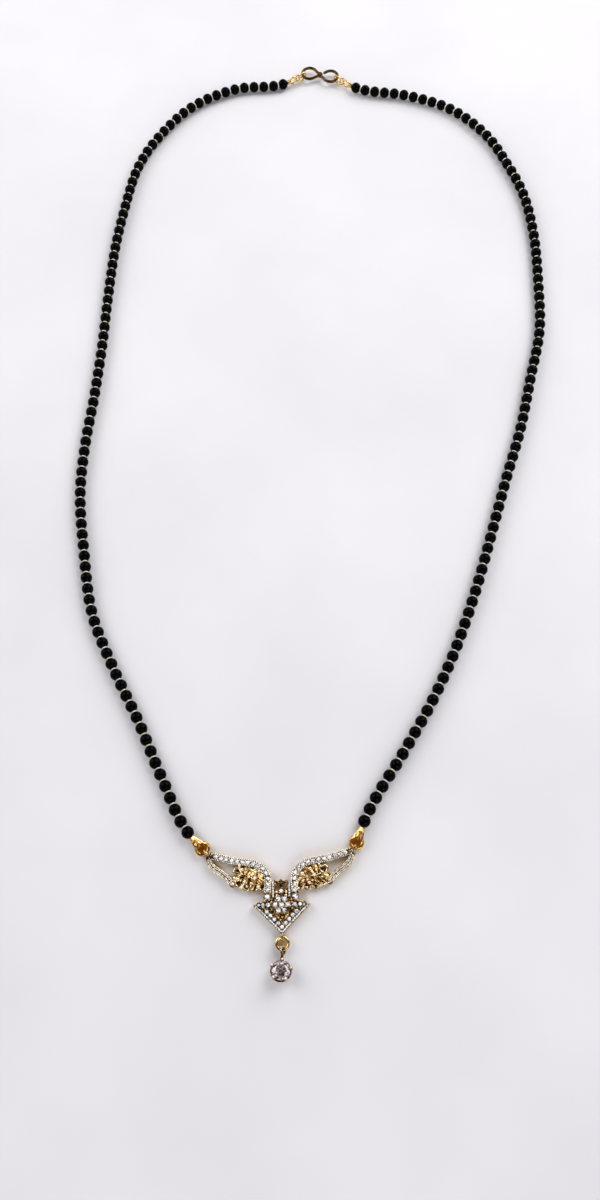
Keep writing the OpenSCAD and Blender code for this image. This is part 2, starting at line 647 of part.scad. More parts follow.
module drop_stone() {
    color(clear_stone) at_drop() brilliant(drop_stone_d);
}

module tip_ring(side) {
    c = wing_eye(side) + unit(wing_dir(side)) * tip_ring_r;
    color(deep_gold) translate([c.x, c.y, eye_z])
        rotate([0, 0, wing_dir(side) + 90]) wire_ring(tip_ring_d, tip_ring_wire, 5);
}

// Upright wire loop with the sleeve that takes the thread's end, its middle at c
module end_loop(c, deg) {
    color(deep_gold) translate([c.x, c.y, axis_z]) {
        upright_ring(end_loop_d, end_loop_wire, deg);
        difference() {
            rotate([0, 0, deg]) rotate([0, 90, 0]) translate([0, 0, end_loop_d / 2 - solder])
                cylinder(h = sleeve_l + solder, d = sleeve_d);
            rotate([0, 0, deg]) rotate([0, 90, 0])
                translate([0, 0, end_loop_d / 2 + sleeve_l / 2 - seat_gap])
                    cylinder(h = sleeve_l, d = bead_hole_d);
        }
    }
}

module wing_loop(side) {
    end_loop(wing_loop_at(side), wing_dir(side));
}

module hook_loop(side) {
    end_loop(hook_loop_at(side), hook_side_dir(side));
}

module flat_link(side) {
    c = flat_link_at(side);
    color(deep_gold) translate([c.x, c.y, axis_z])
        rotate([0, 0, hook_side_dir(side) + 90]) wire_ring(link_d, link_wire, 4);
}

module upright_link(side) {
    c = upright_link_at(side);
    color(deep_gold) translate([c.x, c.y, axis_z])
        upright_ring(link_d, link_wire, hook_side_dir(side));
}

// Outline of one lobe of the hook, drawn in by a distance: a round end and two straight
// sides that meet at the waist
module lobe_outline(inset) {
    r = lobe_r - inset;
    spread = asin(lobe_r / lobe_reach);
    apex = inset / sin(spread);
    touch = [lobe_reach - r * sin(spread), r * cos(spread)];
    translate([lobe_reach, 0]) circle(r = r, $fn = 48);
    polygon([[apex, 0], [touch.x, -touch.y], [lobe_reach, 0], touch]);
}

module lobe() {
    difference() {
        lobe_outline(-hook_wire / 2);
        lobe_outline(hook_wire / 2);
    }
}

module clasp_hook() {
    spread = asin(lobe_r / lobe_reach);
    color([0.45, 0.32, 0.14]) translate([hook_at.x, hook_at.y, axis_z]) rotate([0, 0, hook_dir]) {
        translate([0, 0, -hook_wire / 2]) slab(hook_wire) {
            mirror([1, 0]) lobe();
            // The right lobe ends free just past the waist, where a ring can be slipped on
            difference() {
                lobe();
                rotate([0, 0, spread]) translate([waist_l, -hook_wire])
                    square([hook_opening, 2 * hook_wire]);
            }
        }
        rotate([0, 90, 0]) cylinder(h = waist_l, d = waist_d, center = true);
    }
}

module placed() {
    translate([-middle.x, -middle.y, 0]) children();
}

placed() bead_string(left);  // bead_string_left
placed() bead_string(right);  // bead_string_right
placed() thread(left);  // thread_left
placed() thread(right);  // thread_right
placed() pendant_frame();
placed() wing_stones(left);  // wing_stones_left
placed() wing_stones(right);  // wing_stones_right
placed() kite_stones();
placed()  // flower_stone
    pendant_stone([0, 0], collet_t, flower_stone_d);
for (i = [1:petal_count]) placed()
    pendant_stone(petal_places[i - 1], collet_t, petal_stone_d);
placed() shoulder_stone(left);  // shoulder_stone_left
placed() shoulder_stone(right);  // shoulder_stone_right
placed() drop_ring();
placed() drop_setting();
placed() drop_stone();
placed() tip_ring(left);  // tip_ring_left
placed() tip_ring(right);  // tip_ring_right
placed() wing_loop(left);  // wing_loop_left
placed() wing_loop(right);  // wing_loop_right
placed() hook_loop(left);  // hook_loop_left
placed() hook_loop(right);  // hook_loop_right
placed() flat_link(left);  // flat_link_left
placed() flat_link(right);  // flat_link_right
placed() upright_link(left);  // upright_link_left
placed() upright_link(right);  // upright_link_right
placed() clasp_hook();
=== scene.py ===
"""Mangalsutra laid flat: black glass beads with gold spacers on two strings, a cast and pierced
pendant set with white stones, a stone drop, and a figure-eight hook at the back of the neck."""

import math

import bpy
import numpy as np
from mathutils import Matrix, Vector


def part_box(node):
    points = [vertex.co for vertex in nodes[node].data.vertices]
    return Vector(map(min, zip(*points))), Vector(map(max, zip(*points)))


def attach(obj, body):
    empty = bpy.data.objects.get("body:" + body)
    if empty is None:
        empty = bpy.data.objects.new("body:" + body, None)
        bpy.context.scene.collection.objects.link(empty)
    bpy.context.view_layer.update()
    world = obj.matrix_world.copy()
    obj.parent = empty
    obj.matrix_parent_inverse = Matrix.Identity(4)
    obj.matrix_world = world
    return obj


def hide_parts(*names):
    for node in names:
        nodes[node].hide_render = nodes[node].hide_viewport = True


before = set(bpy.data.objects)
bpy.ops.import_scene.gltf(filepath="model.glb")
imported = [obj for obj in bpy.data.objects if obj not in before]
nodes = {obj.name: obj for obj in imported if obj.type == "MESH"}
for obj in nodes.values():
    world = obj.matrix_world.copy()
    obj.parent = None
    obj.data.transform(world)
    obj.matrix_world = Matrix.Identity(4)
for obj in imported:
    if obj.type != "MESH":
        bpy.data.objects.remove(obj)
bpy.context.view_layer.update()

# Shapes are worked out in millimetres and become metres where a piece is made
MM = 0.001
luck = np.random.default_rng(21)

# Sizes of the pendant, from the kite's middle, as in the part
WING_REACH = 18.4
WING_RISE = 12.8
RAIL_T = 1.9
RAIL_W = 1.61
LOW_RAIL_T = 1.6
LOW_RAIL_W = 1.4
VINE_T = 1.2
KITE_W = 14.0
KITE_DROP = 6.9
BORDER_T = 1.8
PLATE_T = 0.9
NECK_W = 4.7
NECK_RISE = 5.5
NECK_BAR_W = 0.7
TIP_RING_R = 1.45
FOOT_TO_STRING = 3.7


# Shapes: each is (points, corners of all faces in a row, number of corners of each face)

def outward(points, corners, counts):
    """Turns all faces over where the volume they enclose, the sum of each face's area vector
    times its middle, comes out negative."""
    first = np.concatenate([[0], np.cumsum(counts)[:-1]])
    following = np.arange(1, len(corners) + 1)
    following[first + counts - 1] = first
    p, q = points[corners], points[corners[following]]
    area = np.add.reduceat(np.cross(p, q), first)
    middle = np.add.reduceat(p, first) / counts[:, None]
    if (area * middle).sum() < 0:
        corners, counts = corners[::-1], counts[::-1]
    return points, corners, counts


def skin(rings, closed=False):
    """Skin over rings of points, all rings with as many points: a four-sided face between each
    four neighbours, and one face over each end unless the last ring joins the first."""
    n, m = rings.shape[:2]
    here = np.arange(n if closed else n - 1)[:, None] * m
    there = (here + m) % (n * m)
    k = np.arange(m)
    k_next = (k + 1) % m
    corners = np.stack([here + k, there + k, there + k_next, here + k_next], -1).reshape(-1)
    counts = np.full(len(corners) // 4, 4)
    if not closed:
        corners = np.concatenate([corners, k, (n - 1) * m + k[::-1]])
        counts = np.concatenate([counts, [m, m]])
    return outward(rings.reshape(-1, 3), corners, counts)


def round_angles(count):
    """Equal steps once round, from 0."""
    return np.linspace(0, 2 * np.pi, count, endpoint=False)


def circle(r, z, angles):
    """Points of a circle of radius r at height z: (r cos t, r sin t, z) for each angle t."""
    return np.stack([r * np.cos(angles), r * np.sin(angles), 0 * angles + z], -1)


def upright_ring(r, count):
    """Points of a ring round the x axis: the flat circle with its axes moved on by one."""
    return np.roll(circle(r, 0.0, round_angles(count)), 1, axis=1)


def wire(path, half_width, half_height=None, normal=(0, 0, 1), closed=False, sides=12):
    """Oval profile carried along a flat path: at each point it spans the path's own side
    direction by half_width and the plane's normal by half_height."""
    path = np.asarray(path, float)
    ahead = np.roll(path, -1, 0) - np.roll(path, 1, 0) if closed else np.gradient(path, axis=0)
    normal = np.asarray(normal, float)
    side = np.cross(normal, ahead)
    side /= np.linalg.norm(side, axis=1, keepdims=True)
    half_height = half_width if half_height is None else half_height
    w = np.broadcast_to(half_width, len(path))[:, None, None]
    h = np.broadcast_to(half_height, len(path))[:, None, None]
    turn = round_angles(sides)[:, None]
    rings = path[:, None] + w * np.cos(turn) * side[:, None] + h * np.sin(turn) * normal
    return skin(rings, closed)


def ball(lowest=-72, sides=8, levels=5):
    """Ball of radius 1, cut flat below: circles of radius cos(t) at height sin(t)."""
    t = np.radians(np.linspace(lowest, 72, levels))[:, None]
    return skin(circle(np.cos(t), np.sin(t), round_angles(sides)))


def join(*shapes):
    """One shape of several, the corners of each counted on from the points before it."""
    start = np.cumsum([0] + [len(s[0]) for s in shapes])
    return (np.concatenate([s[0] for s in shapes]),
            np.concatenate([s[1] + a for s, a in zip(shapes, start)]),
            np.concatenate([s[2] for s in shapes]))


def repeat(shape, middles, sizes=1.0, headings=0.0):
    """A copy of a shape at each middle, at its size, turned about the upright by its heading."""
    points, corners, counts = shape
    n = len(middles)
    sizes = np.broadcast_to(sizes, n)[:, None, None]
    headings = np.broadcast_to(headings, n)
    c, s, o = np.cos(headings), np.sin(headings), np.zeros(n)
    turn = np.stack([np.stack([c, s, o], -1), np.stack([-s, c, o], -1),
                     np.stack([o, o, o + 1], -1)], 1)
    copies = (points[None] * sizes) @ turn + np.asarray(middles)[:, None]
    step = np.arange(n)[:, None] * len(points)
    return copies.reshape(-1, 3), (corners[None] + step).ravel(), np.tile(counts, n)


def mirrored(shape):
    """The shape on the other side of the pendant's middle line."""
    return outward(shape[0] * [-1, 1, 1], shape[1], shape[2])


def both_sides(shape):
    """The shape and its mirror image."""
    return join(shape, mirrored(shape))


# Lines

def smooth_line(points, steps=10):
    """Smooth curve through all points: each stretch is the cubic whose slopes at its two ends
    follow the points on either side of them."""
    points = np.asarray(points, float)
    p = np.vstack([2 * points[0] - points[1], points, 2 * points[-1] - points[-2]])
    t = np.linspace(0, 1, steps, endpoint=False)[:, None]
    a, b, c, d = (p[i:len(p) - 3 + i, None] for i in range(4))
    curve = 0.5 * (2 * b + (c - a) * t + (2 * a - 5 * b + 4 * c - d) * t ** 2
                   + (3 * b - a - 3 * c + d) * t ** 3)
    return np.vstack([curve.reshape(-1, p.shape[1]), points[-1]])


def beside(line, offset):
    """The flat line drawn sideways by an offset, to its left where it is positive."""
    v = np.gradient(line, axis=0)
    v /= np.linalg.norm(v, axis=1, keepdims=True)
    return line + offset * np.stack([-v[:, 1], v[:, 0]], -1)


def spaced(line, pitch, start=0.0, stop=0.0):
    """Points at equal steps along a line, as near the pitch as they fit, from a length past its
    start to a length before its end, and the heading of each."""
    step = np.linalg.norm(np.diff(line, axis=0), axis=1)
    run = np.concatenate([[0], np.cumsum(step)])
    count = max(int(round((run[-1] - start - stop) / pitch)), 1)
    s = np.linspace(start, run[-1] - stop, count + 1)
    at = np.stack([np.interp(s, run, line[:, k]) for k in (0, 1)], -1)
    on = np.stack([np.interp(s + 0.05, run, line[:, k]) for k in (0, 1)], -1)
    off = np.stack([np.interp(s - 0.05, run, line[:, k]) for k in (0, 1)], -1)
    v = on - off
    return at, np.arctan2(v[:, 1], v[:, 0])


def raised(flat, z):
    """Flat points at a height."""
    flat = np.asarray(flat, float)
    return np.concatenate([flat, np.broadcast_to(z, len(flat))[:, None]], -1)


# What the CAD nodes hold

def node_points(name):
    """All corners of a node, in mm."""
    mesh = nodes[name].data
    flat = np.empty(len(mesh.vertices) * 3)
    mesh.vertices.foreach_get("co", flat)
    return flat.reshape(-1, 3) / MM


def node_faces(name):
    """The three corners of each triangle of a node."""
    mesh = nodes[name].data
    mesh.calc_loop_triangles()
    faces = np.empty(len(mesh.loop_triangles) * 3, np.int64)
    mesh.loop_triangles.foreach_get("vertices", faces)
    return faces.reshape(-1, 3)


def solids_of(name):
    """Lowest and highest corner of each loose solid of a node: each corner takes the least
    number in its faces, over and over, until every solid has one number."""
    points, faces = node_points(name), node_faces(name)
    _, first, same = np.unique(np.round(points, 3), axis=0, return_index=True,
                               return_inverse=True)
    faces = first[same.ravel()][faces]
    label = np.arange(len(points))
    while True:
        least = label[faces].min(1)
        new = label.copy()
        np.minimum.at(new, faces.ravel(), np.repeat(least, 3))
        new = new[new]
        if (new == label).all():
            break
        label = new
    label = label[first[same.ravel()]]
    order = np.argsort(label, kind="stable")
    starts = np.flatnonzero(np.diff(label[order], prepend=-1))
    sorted_points = points[order]
    return (np.minimum.reduceat(sorted_points, starts),
            np.maximum.reduceat(sorted_points, starts))


def middle_of(name):
    """Middle of a node's box, in mm."""
    low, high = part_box(name)
    return (np.array(low) + np.array(high)) / 2 / MM


def strung(name, start):
    """Middles of a string's beads, in order from the one nearest to start."""
    low, high = solids_of(name)
    left_over = list((low + high) / 2)
    chain = []
    at = start
    while left_over:
        i = int(np.argmin([np.linalg.norm(m - at) for m in left_over]))
        at = left_over.pop(i)
        chain.append(at)
    return np.array(chain)


pendant_middle = middle_of("flower_stone") * [1, 1, 0]
pendant_across = middle_of("shoulder_stone_right") - middle_of("shoulder_stone_left")
pendant_turn = math.atan2(pendant_across[1], pendant_across[0])


def on_pendant(shape):
    """From the pendant's own flat frame to its place and turn on the surface."""
    c, s = math.cos(pendant_turn), math.sin(pendant_turn)
    turn = np.array([[c, s, 0], [-s, c, 0], [0, 0, 1]])
    return shape[0] @ turn + pendant_middle, shape[1], shape[2]


# Finishes

def colour(code):
    """Linear colour of an sRGB hex value."""
    c = np.array([int(code[i:i + 2], 16) for i in (1, 3, 5)]) / 255
    linear = np.where(c <= 0.04045, c / 12.92, ((c + 0.055) / 1.055) ** 2.4)
    return (*linear, 1.0)


def node(tree, kind, settings=None, inputs=None, stops=None):
    """Adds one node with its settings, its sockets' values or links, and a ramp's stops."""
    made = tree.nodes.new("ShaderNode" + kind)
    for key, value in (settings or {}).items():
        setattr(made, key, value)
    for key, value in (inputs or {}).items():
        if isinstance(value, bpy.types.NodeSocket):
            tree.links.new(value, made.inputs[key])
        else:
            made.inputs[key].default_value = value
    for i, (place, code) in enumerate(stops or []):
        stop = made.color_ramp.elements[i] if i < 2 else made.color_ramp.elements.new(place)
        stop.position, stop.color = place, colour(code)
    return made


def finish(name):
    """A new material's tree, its shader and the Object coordinates."""
    material = bpy.data.materials.new(name)
    material.use_nodes = True
    tree = material.node_tree
    return material, tree, tree.nodes["Principled BSDF"], node(tree, "TexCoord").outputs["Object"]


def black_glass():
    """Pressed black glass, fire-polished: all but black, with a small faint shine, and a skin
    that waves a little over about a millimetre."""
    material, tree, shader, place = finish("black_pressed_glass")
    wave = node(tree, "TexNoise", inputs={"Vector": place, "Scale": 1 / (1.1 * MM), "Detail": 2.0})
    bump = node(tree, "Bump", inputs={"Height": wave.outputs["Fac"], "Strength": 0.12,
                                      "Distance": 0.05 * MM})
    smear = node(tree, "TexNoise", inputs={"Vector": place, "Scale": 1 / (2.5 * MM)})
    rough = node(tree, "MapRange", inputs={"Value": smear.outputs["Fac"], "To Min": 0.06,
                                           "To Max": 0.2})
    tree.links.new(bump.outputs["Normal"], shader.inputs["Normal"])
    tree.links.new(rough.outputs["Result"], shader.inputs["Roughness"])
    shader.inputs["Base Color"].default_value = colour("#010102")
    shader.inputs["IOR"].default_value = 1.52
    shader.inputs["Specular IOR Level"].default_value = 0.035
    return material


def twisted_thread():
    """Twisted nylon thread: dull, with a strand's ridge every half millimetre, and its dark tint darker
    in the grooves between strands as painted shade.
    """
    material, tree, shader, place = finish("twisted_nylon_thread")
    ridge = node(tree, "TexWave", {"wave_type": "BANDS", "bands_direction": "DIAGONAL"},
                 {"Vector": place, "Scale": 1 / (0.5 * MM) / 3.1, "Distortion": 0.4})
    bump = node(tree, "Bump", inputs={"Height": ridge.outputs["Fac"], "Strength": 0.6,
                                      "Distance": 0.05 * MM})
    # Painted shade: the tint follows the ridges, darkest in the grooves
    tint = node(tree, "ValToRGB", inputs={"Fac": ridge.outputs["Fac"]},
                stops=[(0.0, "#1A1612"), (1.0, "#4A4238")])
    tree.links.new(bump.outputs["Normal"], shader.inputs["Normal"])
    tree.links.new(tint.outputs["Color"], shader.inputs["Base Color"])
    shader.inputs["Roughness"].default_value = 0.7
    return material


def cast_gilt(name, low, high, tints, unshaded_from=None):
    """Cast brass, gilded, with painted light and shade by height: brown gold as painted shade in its
    depths below, pale to near white as painted light on its highest parts, with softened edges, and its
    upper faces cut into little domes of 0.4 mm with painted shade in the dips between them. Low and high
    are heights in mm; past the given place along the surface, in mm, the painted shade is lifted and all
    of it takes the pale top tint."""
    material, tree, shader, place = finish(name)
    split = node(tree, "SeparateXYZ", inputs={"Vector": place})
    cloud = node(tree, "TexNoise", inputs={"Vector": place, "Scale": 1 / (0.9 * MM)})
    shifted = node(tree, "MapRange", inputs={"Value": cloud.outputs["Fac"],
                                             "To Min": -0.25 * MM, "To Max": 0.25 * MM})
    level = node(tree, "Math", {"operation": "ADD"},
                 {0: split.outputs["Z"], 1: shifted.outputs["Result"]})
    # Past the given place the painted shade is taken off: all of it takes the top tint
    if unshaded_from is not None:
        lift = node(tree, "MapRange", inputs={
            "Value": split.outputs["Y"], "From Min": unshaded_from * MM,
            "From Max": (unshaded_from + 0.5) * MM, "To Max": (high - low) * MM})
        level = node(tree, "Math", {"operation": "ADD"},
                     {0: level.outputs["Value"], 1: lift.outputs["Result"]})
    # Height ramp: painted shade low down, painted light on the highest parts
    depth = node(tree, "MapRange", inputs={"Value": level.outputs["Value"],
                                           "From Min": low * MM, "From Max": high * MM})
    tint = node(tree, "ValToRGB", inputs={"Fac": depth.outputs["Result"]}, stops=tints)
    domes = node(tree, "TexVoronoi", {"feature": "SMOOTH_F1"},
                 {"Vector": place, "Scale": 1 / (0.4 * MM)})
    # Painted shade in the dips between the domes, laid over the upward faces
    dome_shade = node(tree, "ValToRGB", inputs={"Fac": domes.outputs["Distance"]},
                   stops=[(0.2, "#FFFFFF"), (0.46, "#64502E")])
    facing = node(tree, "SeparateXYZ",
                  inputs={"Vector": node(tree, "NewGeometry").outputs["True Normal"]})
    upper = node(tree, "MapRange", inputs={"Value": facing.outputs["Z"], "From Min": 0.3,
                                           "From Max": 0.8})
    dome_shaded_tint = node(tree, "Mix", {"data_type": "RGBA", "blend_type": "MULTIPLY"},
                {"Factor": upper.outputs["Result"], 6: tint.outputs["Color"],
                 7: dome_shade.outputs["Color"]})
    edge = node(tree, "Bevel", {"samples": 4}, {"Radius": 0.1 * MM})
    bump = node(tree, "Bump", {"invert": True},
                {"Height": domes.outputs["Distance"], "Strength": upper.outputs["Result"],
                 "Distance": 0.16 * MM, "Normal": edge.outputs["Normal"]})
    rough = node(tree, "MapRange", inputs={"Value": depth.outputs["Result"], "To Min": 0.36,
                                           "To Max": 0.26})
    tree.links.new(bump.outputs["Normal"], shader.inputs["Normal"])
    tree.links.new(dome_shaded_tint.outputs[2], shader.inputs["Base Color"])
    tree.links.new(rough.outputs["Result"], shader.inputs["Roughness"])
    shader.inputs["Metallic"].default_value = 1.0
    return material


def plated(name, low_tint, high_tint, roughness, patch=0.7, grain_depth=0.02, metal_share=1.0):
    """Plated and polished metal: two tints that drift over patches of about a millimetre, and fine
    polishing marks. The last argument is the share that is bright metal; the rest shows the tints as a
    matt colour, which on the spacers paints them near white as a painted highlight."""
    material, tree, shader, place = finish(name)
    cloud = node(tree, "TexNoise", inputs={"Vector": place, "Scale": 1 / (patch * MM),
                                           "Detail": 3.0})
    tint = node(tree, "ValToRGB", inputs={"Fac": cloud.outputs["Fac"]},
                stops=[(0.35, low_tint), (0.65, high_tint)])
    marks = node(tree, "TexNoise", inputs={"Vector": place, "Scale": 1 / (0.12 * MM)})
    bump = node(tree, "Bump", inputs={"Height": marks.outputs["Fac"], "Strength": 0.15,
                                      "Distance": grain_depth * MM})
    rough = node(tree, "MapRange", inputs={"Value": cloud.outputs["Fac"],
                                           "To Min": roughness * 0.7, "To Max": roughness * 1.4})
    tree.links.new(bump.outputs["Normal"], shader.inputs["Normal"])
    tree.links.new(tint.outputs["Color"], shader.inputs["Base Color"])
    tree.links.new(rough.outputs["Result"], shader.inputs["Roughness"])
    shader.inputs["Metallic"].default_value = metal_share
    return material


def cut_stone(name, tints, shard, mixed):
    """Cut zirconia: every facet sends back another part of the room, painted on as a reflection: each
    has its own painted tone between white and dark grey, broken by the far facets seen through it into
    painted shards of about the given size in mm, and all have a mirror-like shine."""
    material, tree, shader, place = finish(name)
    tone = node(tree, "Attribute", {"attribute_name": "tone"})
    shards = node(tree, "TexVoronoi", {"distance": "MANHATTAN"},
                  {"Vector": place, "Scale": 1 / (shard * MM)})
    part = node(tree, "SeparateColor", inputs={"Color": shards.outputs["Color"]})
    both = node(tree, "Mix", inputs={"Factor": mixed, 2: tone.outputs["Fac"],
                                     3: part.outputs["Red"]})
    # Painted reflection: the facet tones and shards set the stone's colour
    tint = node(tree, "ValToRGB", inputs={"Fac": both.outputs["Result"]}, stops=tints)
    cloud = node(tree, "TexNoise", inputs={"Vector": place, "Scale": 1 / (0.4 * MM)})
    rough = node(tree, "MapRange", inputs={"Value": cloud.outputs["Fac"], "To Min": 0.02,
                                           "To Max": 0.08})
    tree.links.new(tint.outputs["Color"], shader.inputs["Base Color"])
    tree.links.new(rough.outputs["Result"], shader.inputs["Roughness"])
    shader.inputs["IOR"].default_value = 2.15
    return material


BLACK_GLASS = black_glass()
THREAD = twisted_thread()
# Tints from the lowest to the highest parts: painted shade below, painted light above
CAST_GILT = cast_gilt("cast_gilt_brass", 0.2, 2.1, [
    (0.0, "#C49C44"), (1.0, "#FFF2D6"), (0.35, "#CCA450"), (0.6, "#CCA45C"), (0.8, "#DEC088")])
SETTING_GILT = cast_gilt("cast_gilt_setting", 0.8, 4.2, [
    (0.0, "#6E4E1A"), (1.0, "#FFF6E4"), (0.35, "#946A28"), (0.7, "#B08A48"), (0.86, "#F4E0B8")],
    pendant_middle[1] - 10.9)
PALE_GILT = plated("pale_gilt_polished", "#96703A", "#FFEEC6", 0.2)
LEAF_GILT = plated("pale_gilt_leaf", "#9A7434", "#F0D296", 0.18, 1.6, 0.01)
BERRY_PLATE = plated("white_gilt_berry", "#EBCFA8", "#FFF8F0", 0.25, 1.2)
WHITE_PLATE = plated("white_gilt_plate", "#E6DAC4", "#FFFBF2", 0.25)
# Spacers: pale gold beads, painted near white and mostly matt, a painted highlight that keeps them
# bright between the black beads
SPACER_GILT = plated("pale_gilt_spacer_painted_highlight", "#F4E6AE", "#FFFFFF", 0.5, 3.0, metal_share=0.25)
DEEP_GILT = plated("deep_gilt_wire", "#8E5610", "#E6B452", 0.22)
LINK_GILT = plated("bright_gilt_link", "#D09A34", "#F8DC90", 0.2)
LOOP_GILT = plated("deep_gilt_drop_ring", "#7A5016", "#F6DC9C", 0.18, 2.4)
STRAND_GILT = plated("bright_gilt_strand", "#B87E24", "#FBE2A2", 0.2, 0.5)
DARK_GILT = plated("dark_gilt_hook_wire", "#382810", "#6E5228", 0.24)
WHITE_STONE = cut_stone("white_zirconia", [(0.2, "#1C1B1F"), (0.62, "#FFFFFF"), (0.36, "#6C6A72"),
                                           (0.5, "#D6D3DA")], 0.4, 0.5)
DROP_STONE = cut_stone("drop_zirconia", [(0.15, "#2A1E18"), (0.84, "#FFF8FF"), (0.42, "#6A5A54"),
                                         (0.66, "#A09298")], 0.34, 0.6)


# Pieces

def piece(name, shape, material, rounded=True):
    """Makes a piece of a shape, in metres, riding on the necklace; its edges of more than 50
    degrees stay sharp, or all of them where it isn't rounded."""
    points, corners, counts = shape
    mesh = bpy.data.meshes.new(name)
    mesh.vertices.add(len(points))
    mesh.vertices.foreach_set("co", (points * MM).astype(np.float32).ravel())
    mesh.loops.add(len(corners))
    mesh.loops.foreach_set("vertex_index", corners.astype(np.int32))
    mesh.polygons.add(len(counts))
    mesh.polygons.foreach_set("loop_start",
                              np.concatenate([[0], np.cumsum(counts)[:-1]]).astype(np.int32))
    mesh.polygons.foreach_set("use_smooth", np.full(len(counts), rounded))
    mesh.update(calc_edges=True)
    mesh.validate()
    if rounded:
        mesh.set_sharp_from_angle(angle=math.radians(50))
    made = bpy.data.objects.new(name, mesh)
    bpy.context.scene.collection.objects.link(made)
    mesh.materials.append(material)
    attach(made, "root")
    return made


def dress(name, material):
    """Gives a CAD node its finish."""
    mesh = nodes[name].data
    mesh.materials.clear()
    mesh.materials.append(material)


for side in ("left", "right"):
    dress(f"bead_string_{side}", BLACK_GLASS)
    dress(f"thread_{side}", THREAD)
    for ring in ("tip_ring", "wing_loop"):
        dress(f"{ring}_{side}", DEEP_GILT)
    for ring in ("hook_loop", "flat_link", "upright_link"):
        dress(f"{ring}_{side}", LINK_GILT)
dress("drop_ring", LOOP_GILT)
dress("drop_setting", SETTING_GILT)
dress("pendant_frame", CAST_GILT)


# Spacers: a small gold ring round the thread in every gap between two beads
SPACER_R, SPACER_HALF_W, SPACER_HALF_T = 0.52, 0.2, 0.19
spacer = wire(upright_ring(SPACER_R, 12), SPACER_HALF_W, SPACER_HALF_T, normal=(1, 0, 0),
              closed=True, sides=8)
for side in ("left", "right"):
    beads = strung(f"bead_string_{side}", middle_of(f"tip_ring_{side}"))
    run = np.diff(beads, axis=0)
    piece(f"string_spacers_{side}",
          repeat(spacer, (beads[1:] + beads[:-1]) / 2, 1.0, np.arctan2(run[:, 1], run[:, 0])),
          SPACER_GILT)


# Strands: fine wires in a fan from each wing-tip ring to the sleeve at the string's end

STRAND_R = 0.14
ROUND_RING, ROUND_SLEEVE = 0.62, 0.72
FAN_DEGREES = (-63, -42, -21, 0, 21, 42, 63)
FAN_SPREAD = 0.4


def strand(foot, end, low, high):
    """Closed loop of fine wire in an upright plane: half a circle round the ring's wire at its
    foot, straight on, and half an oval round the sleeve at its end."""
    run = end - foot
    ahead = run / np.linalg.norm(run)
    t, back = np.radians(np.linspace(90, 270, 9)), np.radians(np.linspace(-80, 80, 5))
    along = np.concatenate([ROUND_RING * np.cos(t), np.linalg.norm(run) + 0.1 * np.cos(back)])
    z = np.concatenate([low + ROUND_RING * np.sin(t), high + ROUND_SLEEVE * np.sin(back)])
    return wire(raised(foot + along[:, None] * ahead, z), STRAND_R,
                normal=(-ahead[1], ahead[0], 0), closed=True, sides=6)


for side in ("left", "right"):
    ring, loop = middle_of(f"tip_ring_{side}"), middle_of(f"wing_loop_{side}")
    ahead = (loop - ring)[:2] / np.linalg.norm((loop - ring)[:2])
    across = np.array([-ahead[1], ahead[0]])
    fan = [strand(ring[:2] + TIP_RING_R * (math.cos(a) * ahead + math.sin(a) * across),
                  ring[:2] + FOOT_TO_STRING * ahead + FAN_SPREAD * a * across, ring[2], loop[2])
           for a in np.radians(FAN_DEGREES)]
    piece(f"tip_strands_{side}", join(*fan), STRAND_GILT)


# Stones

def brilliant():
    """Round brilliant of diameter 1 with its girdle at height 0: a table, eight stars, eight
    kites and sixteen girdle facets above, and eight mains and sixteen halves below."""
    a = np.radians(45 * np.arange(8))
    b = a + math.radians(22.5)
    g = np.radians(22.5 * np.arange(16))
    points = np.concatenate([circle(0.28, 0.155, a), circle(0.385, 0.105, b),
                             circle(0.5, 0.015, g), circle(0.5, -0.015, g),
                             circle(0.17, -0.3, b), [[0, 0, -0.42]]])
    table, star, upper, lower, half, tip = 0, 8, 16, 32, 48, 56
    k = np.arange(8)
    after, before = (k + 1) % 8, (k - 1) % 8
    g0, g1, g2 = 2 * k, 2 * k + 1, (2 * k + 2) % 16
    j = np.arange(16)
    j1 = (j + 1) % 16
    threes = [(table + k, star + k, table + after), (star + k, upper + g0, upper + g1),
              (star + k, upper + g1, upper + g2), (half + k, lower + g1, lower + g0),
              (half + k, lower + g2, lower + g1)]
    fours = [(table + k, star + before, upper + g0, star + k),
             (lower + g0, half + before, 0 * k + tip, half + k)]
    girdle = np.stack([upper + j, lower + j, lower + j1, upper + j1], -1)
    corners = np.concatenate([k + table] + [np.stack(f, -1).ravel() for f in threes + fours]
                             + [girdle.ravel()])
    counts = np.concatenate([[8], np.full(40, 3), np.full(16, 4), np.full(16, 4)])
    return points, corners, counts


def pave_stone():
    """Small stone of diameter 1 to be sunk in metal: a table over eight crown facets."""
    a = np.radians(45 * np.arange(8))
    return skin(np.stack([circle(0.3, 0.16, a), circle(0.5, 0.0, a), circle(0.42, -0.12, a)]))


def set_tones(made, faces_each, tables=(0,), table_least=0.55):
    """Gives each facet its own painted reflection tone from 0 to 1, and the tables a bright one, a
    painted highlight.
    """
    count = len(made.data.polygons)
    tone = luck.random(count)
    for t in tables:
        tone[t::faces_each] = table_least + (1 - table_least) * tone[t::faces_each]
    made.data.attributes.new("tone", "FLOAT", "FACE").data.foreach_set("value", tone)


